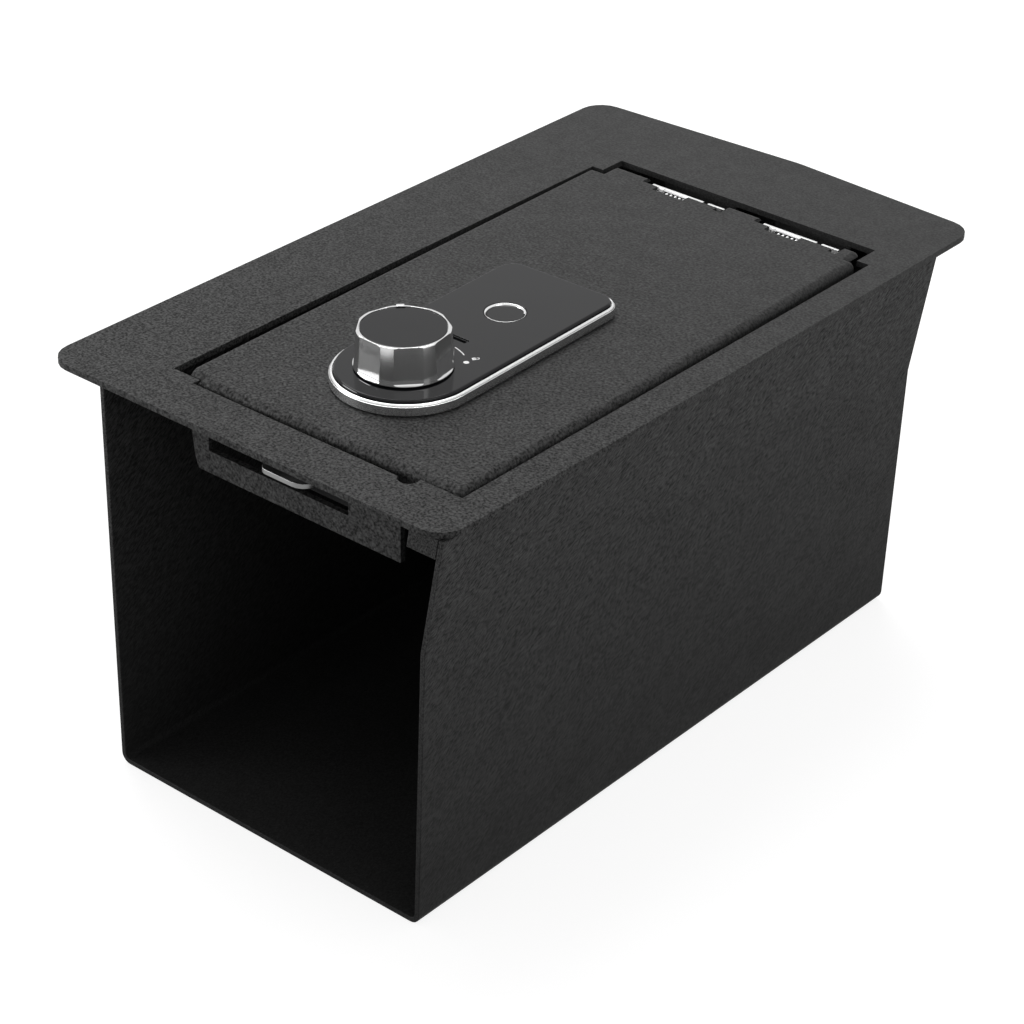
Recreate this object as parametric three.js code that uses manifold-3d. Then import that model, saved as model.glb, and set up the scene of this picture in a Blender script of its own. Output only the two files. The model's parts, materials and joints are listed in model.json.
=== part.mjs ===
// Console safe: a folded steel body under a flat top frame, with a spring-hinged lid that carries a knob lock.
// Millimetres. X points right, Y from the open front to the rear, Z up, and Z = 0 is the underside of the floor.
// Heights in the sizes below are measured from the top face of the frame, which is level zero while building.

import * as THREE from "three";
import { mergeVertices } from "three/addons/utils/BufferGeometryUtils.js";
import Module from "manifold-3d";

const wasm = await Module();
wasm.setup();

// Gaps: a welded or screwed seat, a turning or sliding fit, room for the hinge to swing, and a loose clearance.
const seatGap = 0.25;
const runGap = 0.3;
const swingGap = 0.5;
const looseGap = 0.6;

// Top frame. Its rear edge and its right edge each rise to a shallow peak.
const frameWidth = 209;
const frameLength = 346.7;
const rearPeak = 5.8;
const rearPeakX = 7.7;
const rearPeakRound = 30;
const sidePeak = 1.2;
const sidePeakFromFront = 117.5;
const frameSheet = 2.7;
const frameCorner = 11.5;

// Lid opening in the frame: its four borders, and the narrower part at the hinges.
const borderLeft = 45.1;
const borderRight = 14.1;
const borderFront = 26.25;
const openingLength = 260.7;
const hingeBayDepth = 13.55;
const hingeBayStepLeft = 5.9;
const hingeBayStepRight = 6.1;

// Strike flap, folded down from the front edge of the opening.
const flapFromLeft = 14.4;
const flapFromRight = 25.4;
const flapDrop = 35.8;
const flapSetback = 20.9;
const flapBend = 1.5;
const flapLean = 1.5;
const flapCorner = 1.7;
const flapCornerHeight = 4.8;
const slotFromFlapLeft = 9.3;
const slotFromFlapRight = 26.6;
const strikeSlotTop = 19.9;
const strikeSlotHeight = 5.9;
const reliefRadius = 4.4;
const reliefAside = 1.15;
const reliefBehind = 0.65;

// Body.
const bodyDepth = 182.2;
const bodyLength = 318.7;
const bodySheet = 2.3;
const frontRecess = 1.6;
const leftWallInset = 29;
const rightWallInset = 1.3;
const wallFlare = 8.85;
const wallTaper = 2.95;
const foldDropFront = 55.5;
const foldDropRear = 61.7;
const floorBend = 4.6;
const gussetWidth = 14;
const gussetDrop = 8.6;

// Lid pan.
const lidRise = 1.5;
const lidSheet = 2;
const lidRim = 12;
const lidRoll = 3.6;
const lidCorner = 3;
const lidChamferWidth = 2.2;
const lidChamferLength = 4.1;
const lidGapFlap = 0.8;
const lidGapFrontLeft = 0.6;
const lidGapFrontRight = 0.7;
const lidGapLeftFront = 5.9;
const lidGapLeftRear = 1.6;
const lidGapRightFront = 1.4;
const lidGapRightRear = 4;
const lidStepGap = 3.2;
const lidTongueGapLeft = 2.9;
const lidTongueGapRight = 1.8;
const lidTongueGapRear = 7.4;
const studRadius = 1.5;
const studLength = 5.4;

// Hinges: the pin line, the pitch of the two hinges, and the pieces of one hinge along its width.
const pinHeight = 5;
const pinSetback = 10.4;
const pinRadius = 0.8;
const knuckleRadius = 2.8;
const frameKnuckleRadius = 2.1;
const hingeWidth = 39.5;
const hingePitch = 61;
const hingesAside = 4.5;
const lidKnuckleWidth = 2.2;
const frameKnuckleWidth = 2.8;
const windowStart = 9;
const windowWidth = 14.6;
const farKnuckleStart = 31.4;
const leafSheet = 1.2;
const leafNotchStart = 28.1;
const leafNotchWidth = 2.6;
const leafNotchDepth = 3;
const frameLeafDrop = 22;
const lidLeafLength = 20;
const lidNotchAhead = 3.4;
const lidNotchBeyond = 5;
const lidWindowAhead = 7.4;
const endNotchBeyond = 1.1;
const endNotchAhead = 6.4;
const hoodStart = 6.7;
const hoodWidth = 15.8;
const hoodSheet = 0.8;
const hoodTaper = 2.2;
const hoodOverhang = 60;
const bracketSheet = 2.3;
const bracketFoot = 19;
const bracketDrop = 23;
const bracketShelf = 12;
const bracketShelfLength = 8;
const screwFromEnd = 8;
const screwFromFoot = 7;
const screwShank = 1.75;
const screwHead = 2.9;
const screwHeadHeight = 1.5;

// Torsion spring of a hinge.
const springWire = 1.6;
const springRadius = 1.9;
const springTurns = 5.5;
const springPitch = 2.36;
const springLeg = 2.6;
const curlSteps = 8;
const wireSides = 5;

// Lock panel on the lid: a bright bezel round a black glass. The knob's axis is set from the opening.
const lockAside = 0.2;
const lockFromFront = 51;
const panelOffset = 0.9;
const panelTurn = 1.5;
const bezelRadius = 29.8;
const bezelTail = 101.6;
const bezelCorner = 9.5;
const bezelHeight = 5.05;
const bezelRim = 1.45;
const bezelChamfer = 0.9;
const glassRise = 1.3;
const glassSheet = 2;
const glassChamfer = 0.6;
const shaftRadius = 3.5;

// Sensor, port and knob.
const sensorAside = -0.2;
const sensorBehind = 60.9;
const sensorRingRadius = 8.45;
const sensorRingWidth = 1;
const sensorDepth = 6;
const sensorRingSink = 0.1;
const sensorSink = 1.1;
const portAside = 1;
const portBehind = 31;
const portWidth = 9;
const portHeight = 2.8;
const portDepth = 5;
const knobLift = 0.45;
const knobHeight = 16.2;
const knobBaseRadius = 19.9;
const knobTopRadius = 18.7;
const knobWall = 2.4;
const knobFlats = 7;
const firstFlatAngle = -42;
const wideFlatShare = 0.66;
const flatDepthTop = 1.15;
const flatDepthBase = 0.15;
const capRadius = 17;
const capSheet = 1.3;
const knobBossRadius = 6;
const pointerAngle = 46;
const pointerWidth = 3.4;
const pointerLength = 2.6;
const pointerHeight = 1.1;

// Lock case under the lid, and what it holds.
const caseHalfWidth = 29.5;
const caseFrontGap = 2.2;
const caseLength = 145;
const caseDepth = 29;
const caseWall = 1.8;
const earReach = 7;
const earLength = 9;
const earSheet = 2;
const earFromFront = 16;
const earFromRear = 14;
const nutFlats = 5.5;
const nutHeight = 2.3;
const boltWidth = 26;
const boltSheet = 2.2;
const boltAside = -10.95;
const boltTop = 21.6;
const boltReach = 1.2;
const boltTail = 13;
const boltCornerLeft = 4.5;
const boltCornerRight = 8;
const boltStroke = 9;
const guideWall = 2;
const guideLip = 1.6;
const guideBed = 1.5;
const guideLength = 56;
const camRadius = 10.5;
const camSheet = 3;
const camPinRadius = 1.6;
const boardLength = 62;
const boardSheet = 1.6;
const boardDrop = 7;
const boardFromRear = 3;
const chipWidth = 12;
const chipHeight = 1.6;
const chipAhead = 16;
const relayWidth = 7;
const relayLength = 10;
const relayHeight = 2.4;
const relayAside = 12.5;
const relayBehind = 7;
const plugWidth = 6;
const plugLength = 14;
const plugHeight = 5;
const plugAside = -13;
const plugBehind = 13;
const ledgeWidth = 2.4;
const motorRadius = 4.6;
const motorLength = 17;
const gearboxLength = 6;
const motorShaftReach = 4;

// Battery box under the lid.
const cellRadius = 5.25;
const cellLength = 44.5;
const cellCount = 4;
const cellPitch = 11;
const boxWall = 1.8;
const boxGapToCase = 6;
const contactSheet = 0.6;
const coverSheet = 1.4;
const coverGroove = 1;
const gripCount = 4;
const gripWidth = 18;
const gripPitch = 3;
const gripFromEnd = 6;
const gripHeight = 0.7;
const leadRadius = 1.2;

// Levels and lines worked out from the sizes above.
const half = frameWidth / 2;
const frontY = -(frameLength + rearPeak) / 2;
const rearCornerY = frontY + frameLength;
const frameUnder = -frameSheet;
const openLeft = -half + borderLeft;
const openRight = half - borderRight;
const openFront = frontY + borderFront;
const openStep = openFront + openingLength;
const openRear = openStep + hingeBayDepth;
const openMiddle = (openLeft + openRight) / 2;
const bayLeft = openLeft + hingeBayStepLeft;
const bayRight = openRight - hingeBayStepRight;
const flapLeft = openLeft + flapFromLeft;
const flapRight = openRight - flapFromRight;
const strikeSlotLeft = flapLeft + slotFromFlapLeft;
const strikeSlotRight = flapRight - slotFromFlapRight;
const flapOuter = frontY + flapSetback;
const flapInner = flapOuter + frameSheet;
const wallLeft = -half + leftWallInset;
const wallTopRight = half - rightWallInset;
const wallFold = wallTopRight - wallFlare;
const wallFootRight = wallFold - wallTaper;
const bodyFront = frontY + frontRecess;
const bodyRear = bodyFront + bodyLength;
const wallTop = frameUnder - seatGap;
const lidUnder = lidRise - lidSheet;
const lidRear = openRear - lidTongueGapRear;
const hingeCentre = openMiddle + hingesAside;
const pinY = openRear - pinSetback;
const pinZ = -pinHeight;
const leafFront = pinY + springRadius + springWire / 2 + swingGap;
const leafBack = leafFront + leafSheet;
const lockX = openMiddle + lockAside;
const lockY = openFront + lockFromFront;
const sensorX = lockX + sensorAside;
const sensorY = lockY + sensorBehind;
const portX = lockX + portAside;
const portY = lockY + portBehind;
const boltX = lockX + boltAside;
const bezelBase = lidRise + seatGap;
const bezelTop = bezelBase + bezelHeight;
const glassTop = bezelTop + glassRise;
const glassUnder = glassTop - glassSheet;
const knobBase = glassTop + knobLift;
const knobTop = knobBase + knobHeight;
const caseTop = lidUnder - seatGap;
const caseFront = openFront + lidSheet + caseFrontGap;
const caseRear = caseFront + caseLength;
const caseUnder = caseTop - caseDepth;
const caseFloor = caseUnder + caseWall;
const boardWidth = 2 * (caseHalfWidth - caseWall - looseGap);
const boltUnder = -boltTop - boltSheet;
const camUnder = -boltTop + looseGap + guideBed;
const camThrow = boltStroke / Math.SQRT2;
const boxHalfWidth = (cellCount * cellPitch) / 2 + boxWall;
const boxFront = caseRear + boxGapToCase;
const boxRear = boxFront + cellLength + 2 * (boxWall + contactSheet) + 4 * runGap;
const cellCentreZ = caseTop - boxWall - runGap - cellRadius;
const coverTop = cellCentreZ - cellRadius - runGap;
const boxUnder = coverTop - coverSheet - 2 * runGap - boxWall;

// Solids

function solidOf(geometry) {
  const bare = geometry.clone();
  bare.deleteAttribute("normal");
  bare.deleteAttribute("uv");
  const merged = mergeVertices(bare, 1e-4);
  return new wasm.Manifold(
    new wasm.Mesh({
      numProp: 3,
      vertProperties: merged.attributes.position.array,
      triVerts: new Uint32Array(merged.index.array),
    }),
  );
}

function geometryOf(solid) {
  const mesh = solid.getMesh();
  const geometry = new THREE.BufferGeometry();
  geometry.setAttribute("position", new THREE.BufferAttribute(new Float32Array(mesh.vertProperties), 3));
  geometry.setIndex(new THREE.BufferAttribute(new Uint32Array(mesh.triVerts), 1));
  geometry.computeVertexNormals();
  return geometry;
}

const join = (...pieces) => geometryOf(pieces.map(solidOf).reduce((a, b) => a.add(b)));
const cut = (body, ...tools) =>
  geometryOf(tools.map(solidOf).reduce((a, b) => a.subtract(b), solidOf(body)));
const common = (a, b) => geometryOf(solidOf(a).intersect(solidOf(b)));

// A straight or tapered solid between two outlines with as many points, drawn in one plane and set at two stations.
const planes = {
  xy: (a, b, c) => [a, b, c],
  xz: (a, b, c) => [a, c, b],
  yz: (a, b, c) => [c, a, b],
};

// A solid through several outlines with as many points each, given as [station, outline] pairs.
function lofted(plane, sections) {
  const clockwise = THREE.ShapeUtils.isClockWise(sections[0][1]);
  const place = planes[plane];
  const rings = sections.map(([station, outline]) => ({
    station,
    points: clockwise ? [...outline].reverse() : outline,
  }));
  const count = rings[0].points.length;
  const positions = rings.flatMap(({ station, points }) => points.flatMap((p) => place(p.x, p.y, station)));
  const faces = [];
  const last = (rings.length - 1) * count;
  for (const [a, b, c] of THREE.ShapeUtils.triangulateShape(rings[0].points, [])) faces.push([a, c, b]);
  for (const [a, b, c] of THREE.ShapeUtils.triangulateShape(rings.at(-1).points, [])) {
    faces.push([a + last, b + last, c + last]);
  }
  for (let i = 0; i < last; i++) {
    const ring = Math.floor(i / count) * count;
    const j = ring + ((i + 1 - ring) % count);
    faces.push([i, j, j + count], [i, j + count, i + count]);
  }
  const turned = (plane === "xz") !== rings.at(-1).station < rings[0].station;
  const geometry = new THREE.BufferGeometry();
  geometry.setAttribute("position", new THREE.Float32BufferAttribute(positions, 3));
  geometry.setIndex(faces.flatMap(([a, b, c]) => (turned ? [a, c, b] : [a, b, c])));
  return geometry;
}

const prism = (plane, outline, from, to, farOutline = outline) =>
  lofted(plane, [
    [from, outline],
    [to, farOutline],
  ]);

function box(x0, x1, y0, y1, z0, z1) {
  const geometry = new THREE.BoxGeometry(x1 - x0, y1 - y0, z1 - z0);
  return geometry.translate((x0 + x1) / 2, (y0 + y1) / 2, (z0 + z1) / 2);
}

// A round rod along one axis; the centre gives its place across that axis.
function rod(axis, radius, centre, from, to, sides = 24) {
  const geometry = new THREE.CylinderGeometry(radius, radius, to - from, sides);
  if (axis === "x") geometry.rotateZ(-Math.PI / 2);
  if (axis === "z") geometry.rotateX(Math.PI / 2);
  const middle = (from + to) / 2;
  const [a, b] = centre;
  if (axis === "x") return geometry.translate(middle, a, b);
  if (axis === "y") return geometry.translate(a, middle, b);
  return geometry.translate(a, b, middle);
}

// Corners given as [x, y, radius] become an outline with true arcs at the rounded corners.
function outlineOf(corners, stepDegrees = 18) {
  const points = [];
  corners.forEach(([x, y, radius = 0], i) => {
    const corner = new THREE.Vector2(x, y);
    if (radius === 0) {
      points.push(corner);
      return;
    }
    const [bx, by] = corners[(i + corners.length - 1) % corners.length];
    const [nx, ny] = corners[(i + 1) % corners.length];
    const back = new THREE.Vector2(bx, by).sub(corner).normalize();
    const next = new THREE.Vector2(nx, ny).sub(corner).normalize();
    const opening = Math.acos(back.dot(next));
    const reach = radius / Math.tan(opening / 2);
    const centre = back.clone().add(next).normalize().multiplyScalar(radius / Math.sin(opening / 2)).add(corner);
    const start = back.multiplyScalar(reach).add(corner).sub(centre).angle();
    const end = next.multiplyScalar(reach).add(corner).sub(centre).angle();
    let sweep = end - start;
    if (sweep > Math.PI) sweep -= 2 * Math.PI;
    if (sweep < -Math.PI) sweep += 2 * Math.PI;
    const steps = Math.max(1, Math.ceil(THREE.MathUtils.radToDeg(Math.abs(sweep)) / stepDegrees - 0.01));
    for (let k = 0; k <= steps; k++) {
      const angle = start + (sweep * k) / steps;
      points.push(new THREE.Vector2(centre.x + radius * Math.cos(angle), centre.y + radius * Math.sin(angle)));
    }
  });
  return points;
}

// Sheet metal seen edge-on: a line of corners [x, y, radius] thickened to its left by the sheet.
function foldedSheet(corners, sheet) {
  const path = [];
  corners.forEach((corner, i) => {
    const inside = i > 0 && i < corners.length - 1;
    const window = inside ? [corners[i - 1], corner, corners[i + 1]] : [corner];
    const [x, y, radius = 0] = corner;
    if (!inside || radius === 0) path.push(new THREE.Vector2(x, y));
    else path.push(...outlineOf(window.map(([a, b], k) => [a, b, k === 1 ? radius : 0])).slice(1, -1));
  });
  const sides = path.map((point, i) => {
    const before = path[Math.max(i - 1, 0)];
    const after = path[Math.min(i + 1, path.length - 1)];
    const into = point.clone().sub(before).normalize();
    const out = after.clone().sub(point).normalize();
    if (i === 0) into.copy(out);
    if (i === path.length - 1) out.copy(into);
    const along = into.clone().add(out).normalize();
    const stretch = sheet / along.dot(into);
    return new THREE.Vector2(point.x - along.y * stretch, point.y + along.x * stretch);
  });
  return [...path, ...sides.reverse()];
}

// A flat body with its upper edges rolled over; the plan gives its outline at an inset from full size.
function rolledSlab(planAt, inset, under, top, roll, steps = 4) {
  const sections = [[under, planAt(inset)]];
  for (let i = 0; i <= steps; i++) {
    const angle = (Math.PI / 2) * (i / steps);
    sections.push([top - roll * (1 - Math.sin(angle)), planAt(inset + roll * (1 - Math.cos(angle)))]);
  }
  return lofted("xy", sections);
}

// Body and frame

function shellPath(foldDrop) {
  return [
    [wallLeft, wallTop],
    [wallLeft, -bodyDepth, floorBend],
    [wallFootRight, -bodyDepth, floorBend],
    [wallFold, -foldDrop],
    [wallTopRight + wallFlare * 0.05, wallTop + (foldDrop + wallTop) * 0.05],
  ];
}

function bodyShell() {
  const front = foldedSheet(shellPath(foldDropFront), bodySheet);
  const rear = foldedSheet(shellPath(foldDropRear), bodySheet);
  const walls = prism("xz", front, bodyFront, bodyRear, rear);
  return common(walls, box(-half, half, bodyFront, bodyRear, -bodyDepth, wallTop));
}

// The inside face of the right wall, at a height and a place along the body.
function rightWallInside(height, y) {
  const along = (y - bodyFront) / bodyLength;
  const fold = THREE.MathUtils.lerp(-foldDropFront, -foldDropRear, along);
  const outside =
    height > fold
      ? THREE.MathUtils.mapLinear(height, fold, wallTop, wallFold, wallTopRight)
      : THREE.MathUtils.mapLinear(height, -bodyDepth, fold, wallFootRight, wallFold);
  return outside - bodySheet * 1.02;
}

function backWall() {
  const y = bodyRear;
  const left = wallLeft + bodySheet + seatGap;
  const foot = -bodyDepth + bodySheet + seatGap;
  const corners = [
    [left, wallTop],
    [left, foot, floorBend - bodySheet],
    [rightWallInside(foot, y) - seatGap, foot, floorBend - bodySheet],
    [rightWallInside(-foldDropRear, y) - seatGap, -foldDropRear],
    [rightWallInside(wallTop, y) - seatGap, wallTop],
  ];
  return prism("xz", outlineOf(corners), bodyRear - bodySheet, bodyRear);
}

function frontGusset() {
  const foot = wallTop - gussetDrop;
  const topEnd = rightWallInside(wallTop, bodyFront) - seatGap;
  const footEnd = rightWallInside(foot, bodyFront) - seatGap;
  const corners = [
    [topEnd - gussetWidth, wallTop],
    [footEnd - gussetWidth, foot],
    [footEnd, foot],
    [topEnd, wallTop],
  ];
  return prism("xz", outlineOf(corners), bodyFront, bodyFront + bodySheet);
}

function frameOutline() {
  return outlineOf([
    [-half, frontY, frameCorner],
    [half, frontY, frameCorner],
    [half + sidePeak, frontY + sidePeakFromFront],
    [half, rearCornerY, frameCorner],
    [rearPeakX, rearCornerY + rearPeak, rearPeakRound],
    [-half, rearCornerY, frameCorner],
  ]);
}

function openingOutline() {
  return outlineOf([
    [openLeft, openFront],
    [flapLeft, openFront],
    [flapLeft, flapInner - flapBend],
    [flapRight, flapInner - flapBend],
    [flapRight, openFront],
    [openRight, openFront],
    [openRight, openStep],
    [bayRight, openStep],
    [bayRight, openRear],
    [bayLeft, openRear],
    [bayLeft, openStep],
    [openLeft, openStep],
  ]);
}

function topFrame() {
  const plate = prism("xy", frameOutline(), frameUnder, 0);
  const opening = prism("xy", openingOutline(), frameUnder - 1, 1);
  const root = flapOuter - frameSheet;
  const flapProfile = outlineOf([
    [flapInner, -flapDrop],
    [flapInner, 0, flapBend],
    [root, 0],
    [root, -frameSheet],
    [flapOuter, -frameSheet],
    [flapOuter, -flapDrop],
  ]);
  const flap = prism("yz", flapProfile, flapLeft, flapRight);
  const reliefPlace = [flapRight + reliefAside, flapInner + reliefBehind];
  const relief = rod("z", reliefRadius, reliefPlace, frameUnder - 1, 1, 28);
  const taper = prism(
    "xz",
    outlineOf([
      [flapLeft - 1, -strikeSlotTop],
      [flapLeft, -strikeSlotTop],
      [flapLeft + flapLean, -flapDrop + flapCornerHeight],
      [flapLeft + flapLean + flapCorner, -flapDrop],
      [flapLeft + flapLean + flapCorner, -flapDrop - 1],
      [flapLeft - 1, -flapDrop - 1],
    ]),
    flapOuter - 1,
    flapInner + 1,
  );
  const slot = box(
    strikeSlotLeft,
    strikeSlotRight,
    flapOuter - 1,
    flapInner + 1,
    -strikeSlotTop - strikeSlotHeight,
    -strikeSlotTop,
  );
  return cut(join(cut(plate, opening), cut(flap, slot, taper)), relief);
}

// Hinges

const hingeStart = (side) => hingeCentre + (side * hingePitch) / 2 - hingeWidth / 2;

const lidKnuckle = (from) => rod("x", knuckleRadius, [pinY, pinZ], from, from + lidKnuckleWidth, 20);
const pinBore = (from, to) => rod("x", pinRadius + runGap, [pinY, pinZ], from, to, 16);

// Screw places of a frame leaf, along the hinge and in height.
const leafScrews = [screwFromEnd, hingeWidth - screwFromEnd].map((along) => [
  along,
  pinZ - frameLeafDrop + screwFromFoot,
]);

// The top strap of a knuckle, between two places across the pin.
const strap = (from, width, y0, y1) =>
  box(from, from + width, y0, y1, pinZ + knuckleRadius - leafSheet, pinZ + knuckleRadius);

function frameLeaf(side) {
  const start = hingeStart(side);
  const top = pinZ + knuckleRadius;
  const plate = box(start, start + hingeWidth, leafFront, leafBack, pinZ - frameLeafDrop, top);
  const notch = box(
    start + leafNotchStart,
    start + leafNotchStart + leafNotchWidth,
    leafFront - 1,
    leafBack + 1,
    top - leafNotchDepth,
    top + 1,
  );
  const strapFoot = pinZ - frameKnuckleRadius;
  const knuckleStarts = [
    start + lidKnuckleWidth + runGap,
    start + windowStart + windowWidth + runGap,
  ];
  const carriers = knuckleStarts.flatMap((from) => [
    rod("x", frameKnuckleRadius, [pinY, pinZ], from, from + frameKnuckleWidth, 20),
    box(from, from + frameKnuckleWidth, pinY, leafFront + 0.5, strapFoot, strapFoot + leafSheet),
  ]);
  const inner = springRadius + springWire / 2 + runGap;
  const hoodLine = [1, 0.75, 0.5, 0.25].map((share) => share * hoodOverhang).map((degrees) => {
    const angle = THREE.MathUtils.degToRad(degrees);
    return [pinY + inner * Math.cos(angle), pinZ + inner * Math.sin(angle)];
  });
  hoodLine.push([leafFront, pinZ - 1]);
  const from = start + hoodStart;
  const to = from + hoodWidth;
  const hood = prism("yz", foldedSheet(hoodLine, hoodSheet), from, to);
  const slopes = [
    [from, 1],
    [to, -1],
  ].map(([x, way]) =>
    prism(
      "xy",
      outlineOf([
        [x - way, pinY - 1],
        [x + way * hoodTaper, pinY - 1],
        [x + way * 0.2, leafFront],
        [x - way, leafFront],
      ]),
      top - 1.2,
      top + 2 * knuckleRadius,
    ),
  );
  const holes = leafScrews.map(([along, z]) =>
    rod("y", screwShank + runGap, [start + along, z], leafFront - 1, leafBack + 1, 16),
  );
  const leaf = join(plate, ...carriers, cut(hood, ...slopes));
  return cut(leaf, notch, pinBore(start - 1, start + hingeWidth + 1), ...holes);
}

function lidLeaf(side) {
  const start = hingeStart(side);
  const end = start + hingeWidth;
  const top = caseTop;
  const ahead = knuckleRadius + 1.1;
  const plate = box(start, end, pinY - ahead - lidLeafLength, pinY - ahead, top - leafSheet, top);
  const window = box(
    start + windowStart - 1,
    start + windowStart + windowWidth + 1,
    pinY - lidWindowAhead - 0.8,
    pinY,
    top - leafSheet - 1,
    top + 1,
  );
  const ears = [start, start + farKnuckleStart].flatMap((from) => [
    lidKnuckle(from),
    strap(from, lidKnuckleWidth, pinY - ahead, pinY),
    box(
      from,
      from + lidKnuckleWidth,
      pinY - ahead - leafSheet,
      pinY - ahead,
      pinZ + knuckleRadius - leafSheet,
      top,
    ),
  ]);
  return cut(join(cut(plate, window), ...ears), pinBore(start - 1, end + 1));
}

function hingePin(side) {
  const start = hingeStart(side);
  return rod("x", pinRadius, [pinY, pinZ], start - runGap, start + farKnuckleStart + lidKnuckleWidth + runGap, 16);
}

// The spring is one unbroken wire: curls round the pin, and a short straight leg at each end.
function springPath(side) {
  const coil = springTurns * springPitch;
  const start = hingeStart(side) + windowStart + (windowWidth - coil) / 2;
  const steps = Math.round(springTurns * curlSteps);
  const points = [];
  for (let i = 0; i <= steps; i++) {
    const turn = i / curlSteps;
    const angle = 2 * Math.PI * turn;
    points.push(
      new THREE.Vector3(
        start + springPitch * turn,
        pinY + springRadius * Math.cos(angle),
        pinZ + springRadius * Math.sin(angle),
      ),
    );
  }
  const first = points[0].clone().add(new THREE.Vector3(0, 0, -springLeg));
  const last = points[steps].clone().add(new THREE.Vector3(0, 0, -springLeg));
  return [first, ...points, last];
}

// A wire of round section through a list of points, with flat ends.
function wire(points, radius, sides) {
  const positions = [];
  const faces = [];
  let across = new THREE.Vector3(1, 0, 0);
  points.forEach((point, i) => {
    const before = points[Math.max(i - 1, 0)];
    const after = points[Math.min(i + 1, points.length - 1)];
    const along = after.clone().sub(before).normalize();
    across = across.clone().sub(along.clone().multiplyScalar(across.dot(along))).normalize();
    const third = along.clone().cross(across);
    for (let k = 0; k < sides; k++) {
      const angle = (2 * Math.PI * k) / sides;
      const offset = across.clone().multiplyScalar(radius * Math.cos(angle));
      offset.add(third.clone().multiplyScalar(radius * Math.sin(angle)));
      positions.push(...point.clone().add(offset).toArray());
    }
  });
  for (let i = 0; i + 1 < points.length; i++) {
    for (let k = 0; k < sides; k++) {
      const a = i * sides + k;
      const b = i * sides + ((k + 1) % sides);
      faces.push(a, b, b + sides, a, b + sides, a + sides);
    }
  }
  const last = (points.length - 1) * sides;
  for (let k = 1; k + 1 < sides; k++) faces.push(0, k + 1, k, last, last + k, last + k + 1);
  const geometry = new THREE.BufferGeometry();
  geometry.setAttribute("position", new THREE.Float32BufferAttribute(positions, 3));
  geometry.setIndex(faces);
  return geometry;
}

// The least distance between points of the wire that lie over half a curl apart, less the wire itself.
function leastGap(points, thickness, apart) {
  let least = Infinity;
  points.forEach((p, i) => {
    for (let j = i + apart; j < points.length; j++) least = Math.min(least, p.distanceTo(points[j]));
  });
  return least - thickness;
}

function hingeSpring(side) {
  const points = springPath(side);
  const gap = leastGap(points, springWire, curlSteps / 2 + 1);
  console.log(`hinge spring, least gap to itself: ${gap.toFixed(2)} mm`);
  return wire(points, springWire / 2, wireSides);
}

function hingeBracket(side) {
  const start = hingeStart(side);
  const front = leafBack + seatGap;
  const profile = foldedSheet(
    [
      [front, wallTop - bracketDrop],
      [front, wallTop - bracketShelf, bracketSheet],
      [front + bracketShelfLength, wallTop - bracketShelf, bracketSheet],
      [front + bracketShelfLength, wallTop, bracketSheet],
      [front + bracketFoot, wallTop],
    ],
    -bracketSheet,
  );
  const holes = leafScrews.map(([along, z]) =>
    rod("y", screwShank + runGap, [start + along, z], front - 1, front + bracketSheet + 1, 16),
  );
  return cut(prism("yz", profile, start, start + hingeWidth), ...holes);
}

function leafScrew(side, which) {
  const [along, z] = leafScrews[which];
  const centre = [hingeStart(side) + along, z];
  const seat = leafFront - seatGap;
  const end = leafBack + seatGap + bracketSheet + 1;
  const head = new THREE.LatheGeometry(
    [
      new THREE.Vector2(0, 0),
      new THREE.Vector2(screwHead, 0),
      new THREE.Vector2(screwHead * 0.86, screwHeadHeight * 0.7),
      new THREE.Vector2(screwHead * 0.5, screwHeadHeight),
      new THREE.Vector2(0, screwHeadHeight),
    ],
    16,
  );
  head.rotateX(Math.PI);
  head.translate(centre[0], seat, centre[1]);
  const slot = box(
    centre[0] - screwHead,
    centre[0] + screwHead,
    seat - screwHeadHeight - 1,
    seat - screwHeadHeight + 0.6,
    centre[1] - 0.4,
    centre[1] + 0.4,
  );
  return cut(join(head, rod("y", screwShank, centre, seat - 0.2, end, 16)), slot);
}

// Lid

const studPlaces = (() => {
  const x = caseHalfWidth + earReach / 2;
  const ys = [caseFront + earFromFront, caseRear - earFromRear];
  const onCase = ys.flatMap((y) => [
    [lockX - x, y],
    [lockX + x, y],
  ]);
  const boxMiddle = (boxFront + boxRear) / 2;
  const reach = boxHalfWidth + earReach / 2;
  return { onCase, onBox: [lockX - reach, lockX + reach].map((sideX) => [sideX, boxMiddle]) };
})();

function lidPlan(inset) {
  const left = openLeft + lidGapLeftFront;
  const step = flapLeft + runGap + seatGap;
  const shoulder = openStep - lidStepGap - inset;
  const tongueLeft = bayLeft + lidTongueGapLeft + inset;
  const tongueRight = bayRight - lidTongueGapRight - inset;
  const round = Math.max(lidCorner - inset, 0.4);
  return outlineOf([
    [left + lidChamferWidth + inset, openFront + lidGapFrontLeft + inset],
    [step + inset, openFront + lidGapFrontLeft + inset],
    [step + inset, flapInner + lidGapFlap + inset],
    [openRight - lidGapRightFront - inset, openFront + lidGapFrontRight + inset, round],
    [openRight - lidGapRightRear - inset, shoulder, round],
    [tongueRight, shoulder],
    [tongueRight, lidRear - inset, round],
    [tongueLeft, lidRear - inset, round],
    [tongueLeft, shoulder],
    [openLeft + lidGapLeftRear + inset, shoulder, round],
    [left + inset, openFront + lidGapFrontLeft + lidChamferLength + inset],
  ]);
}

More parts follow.
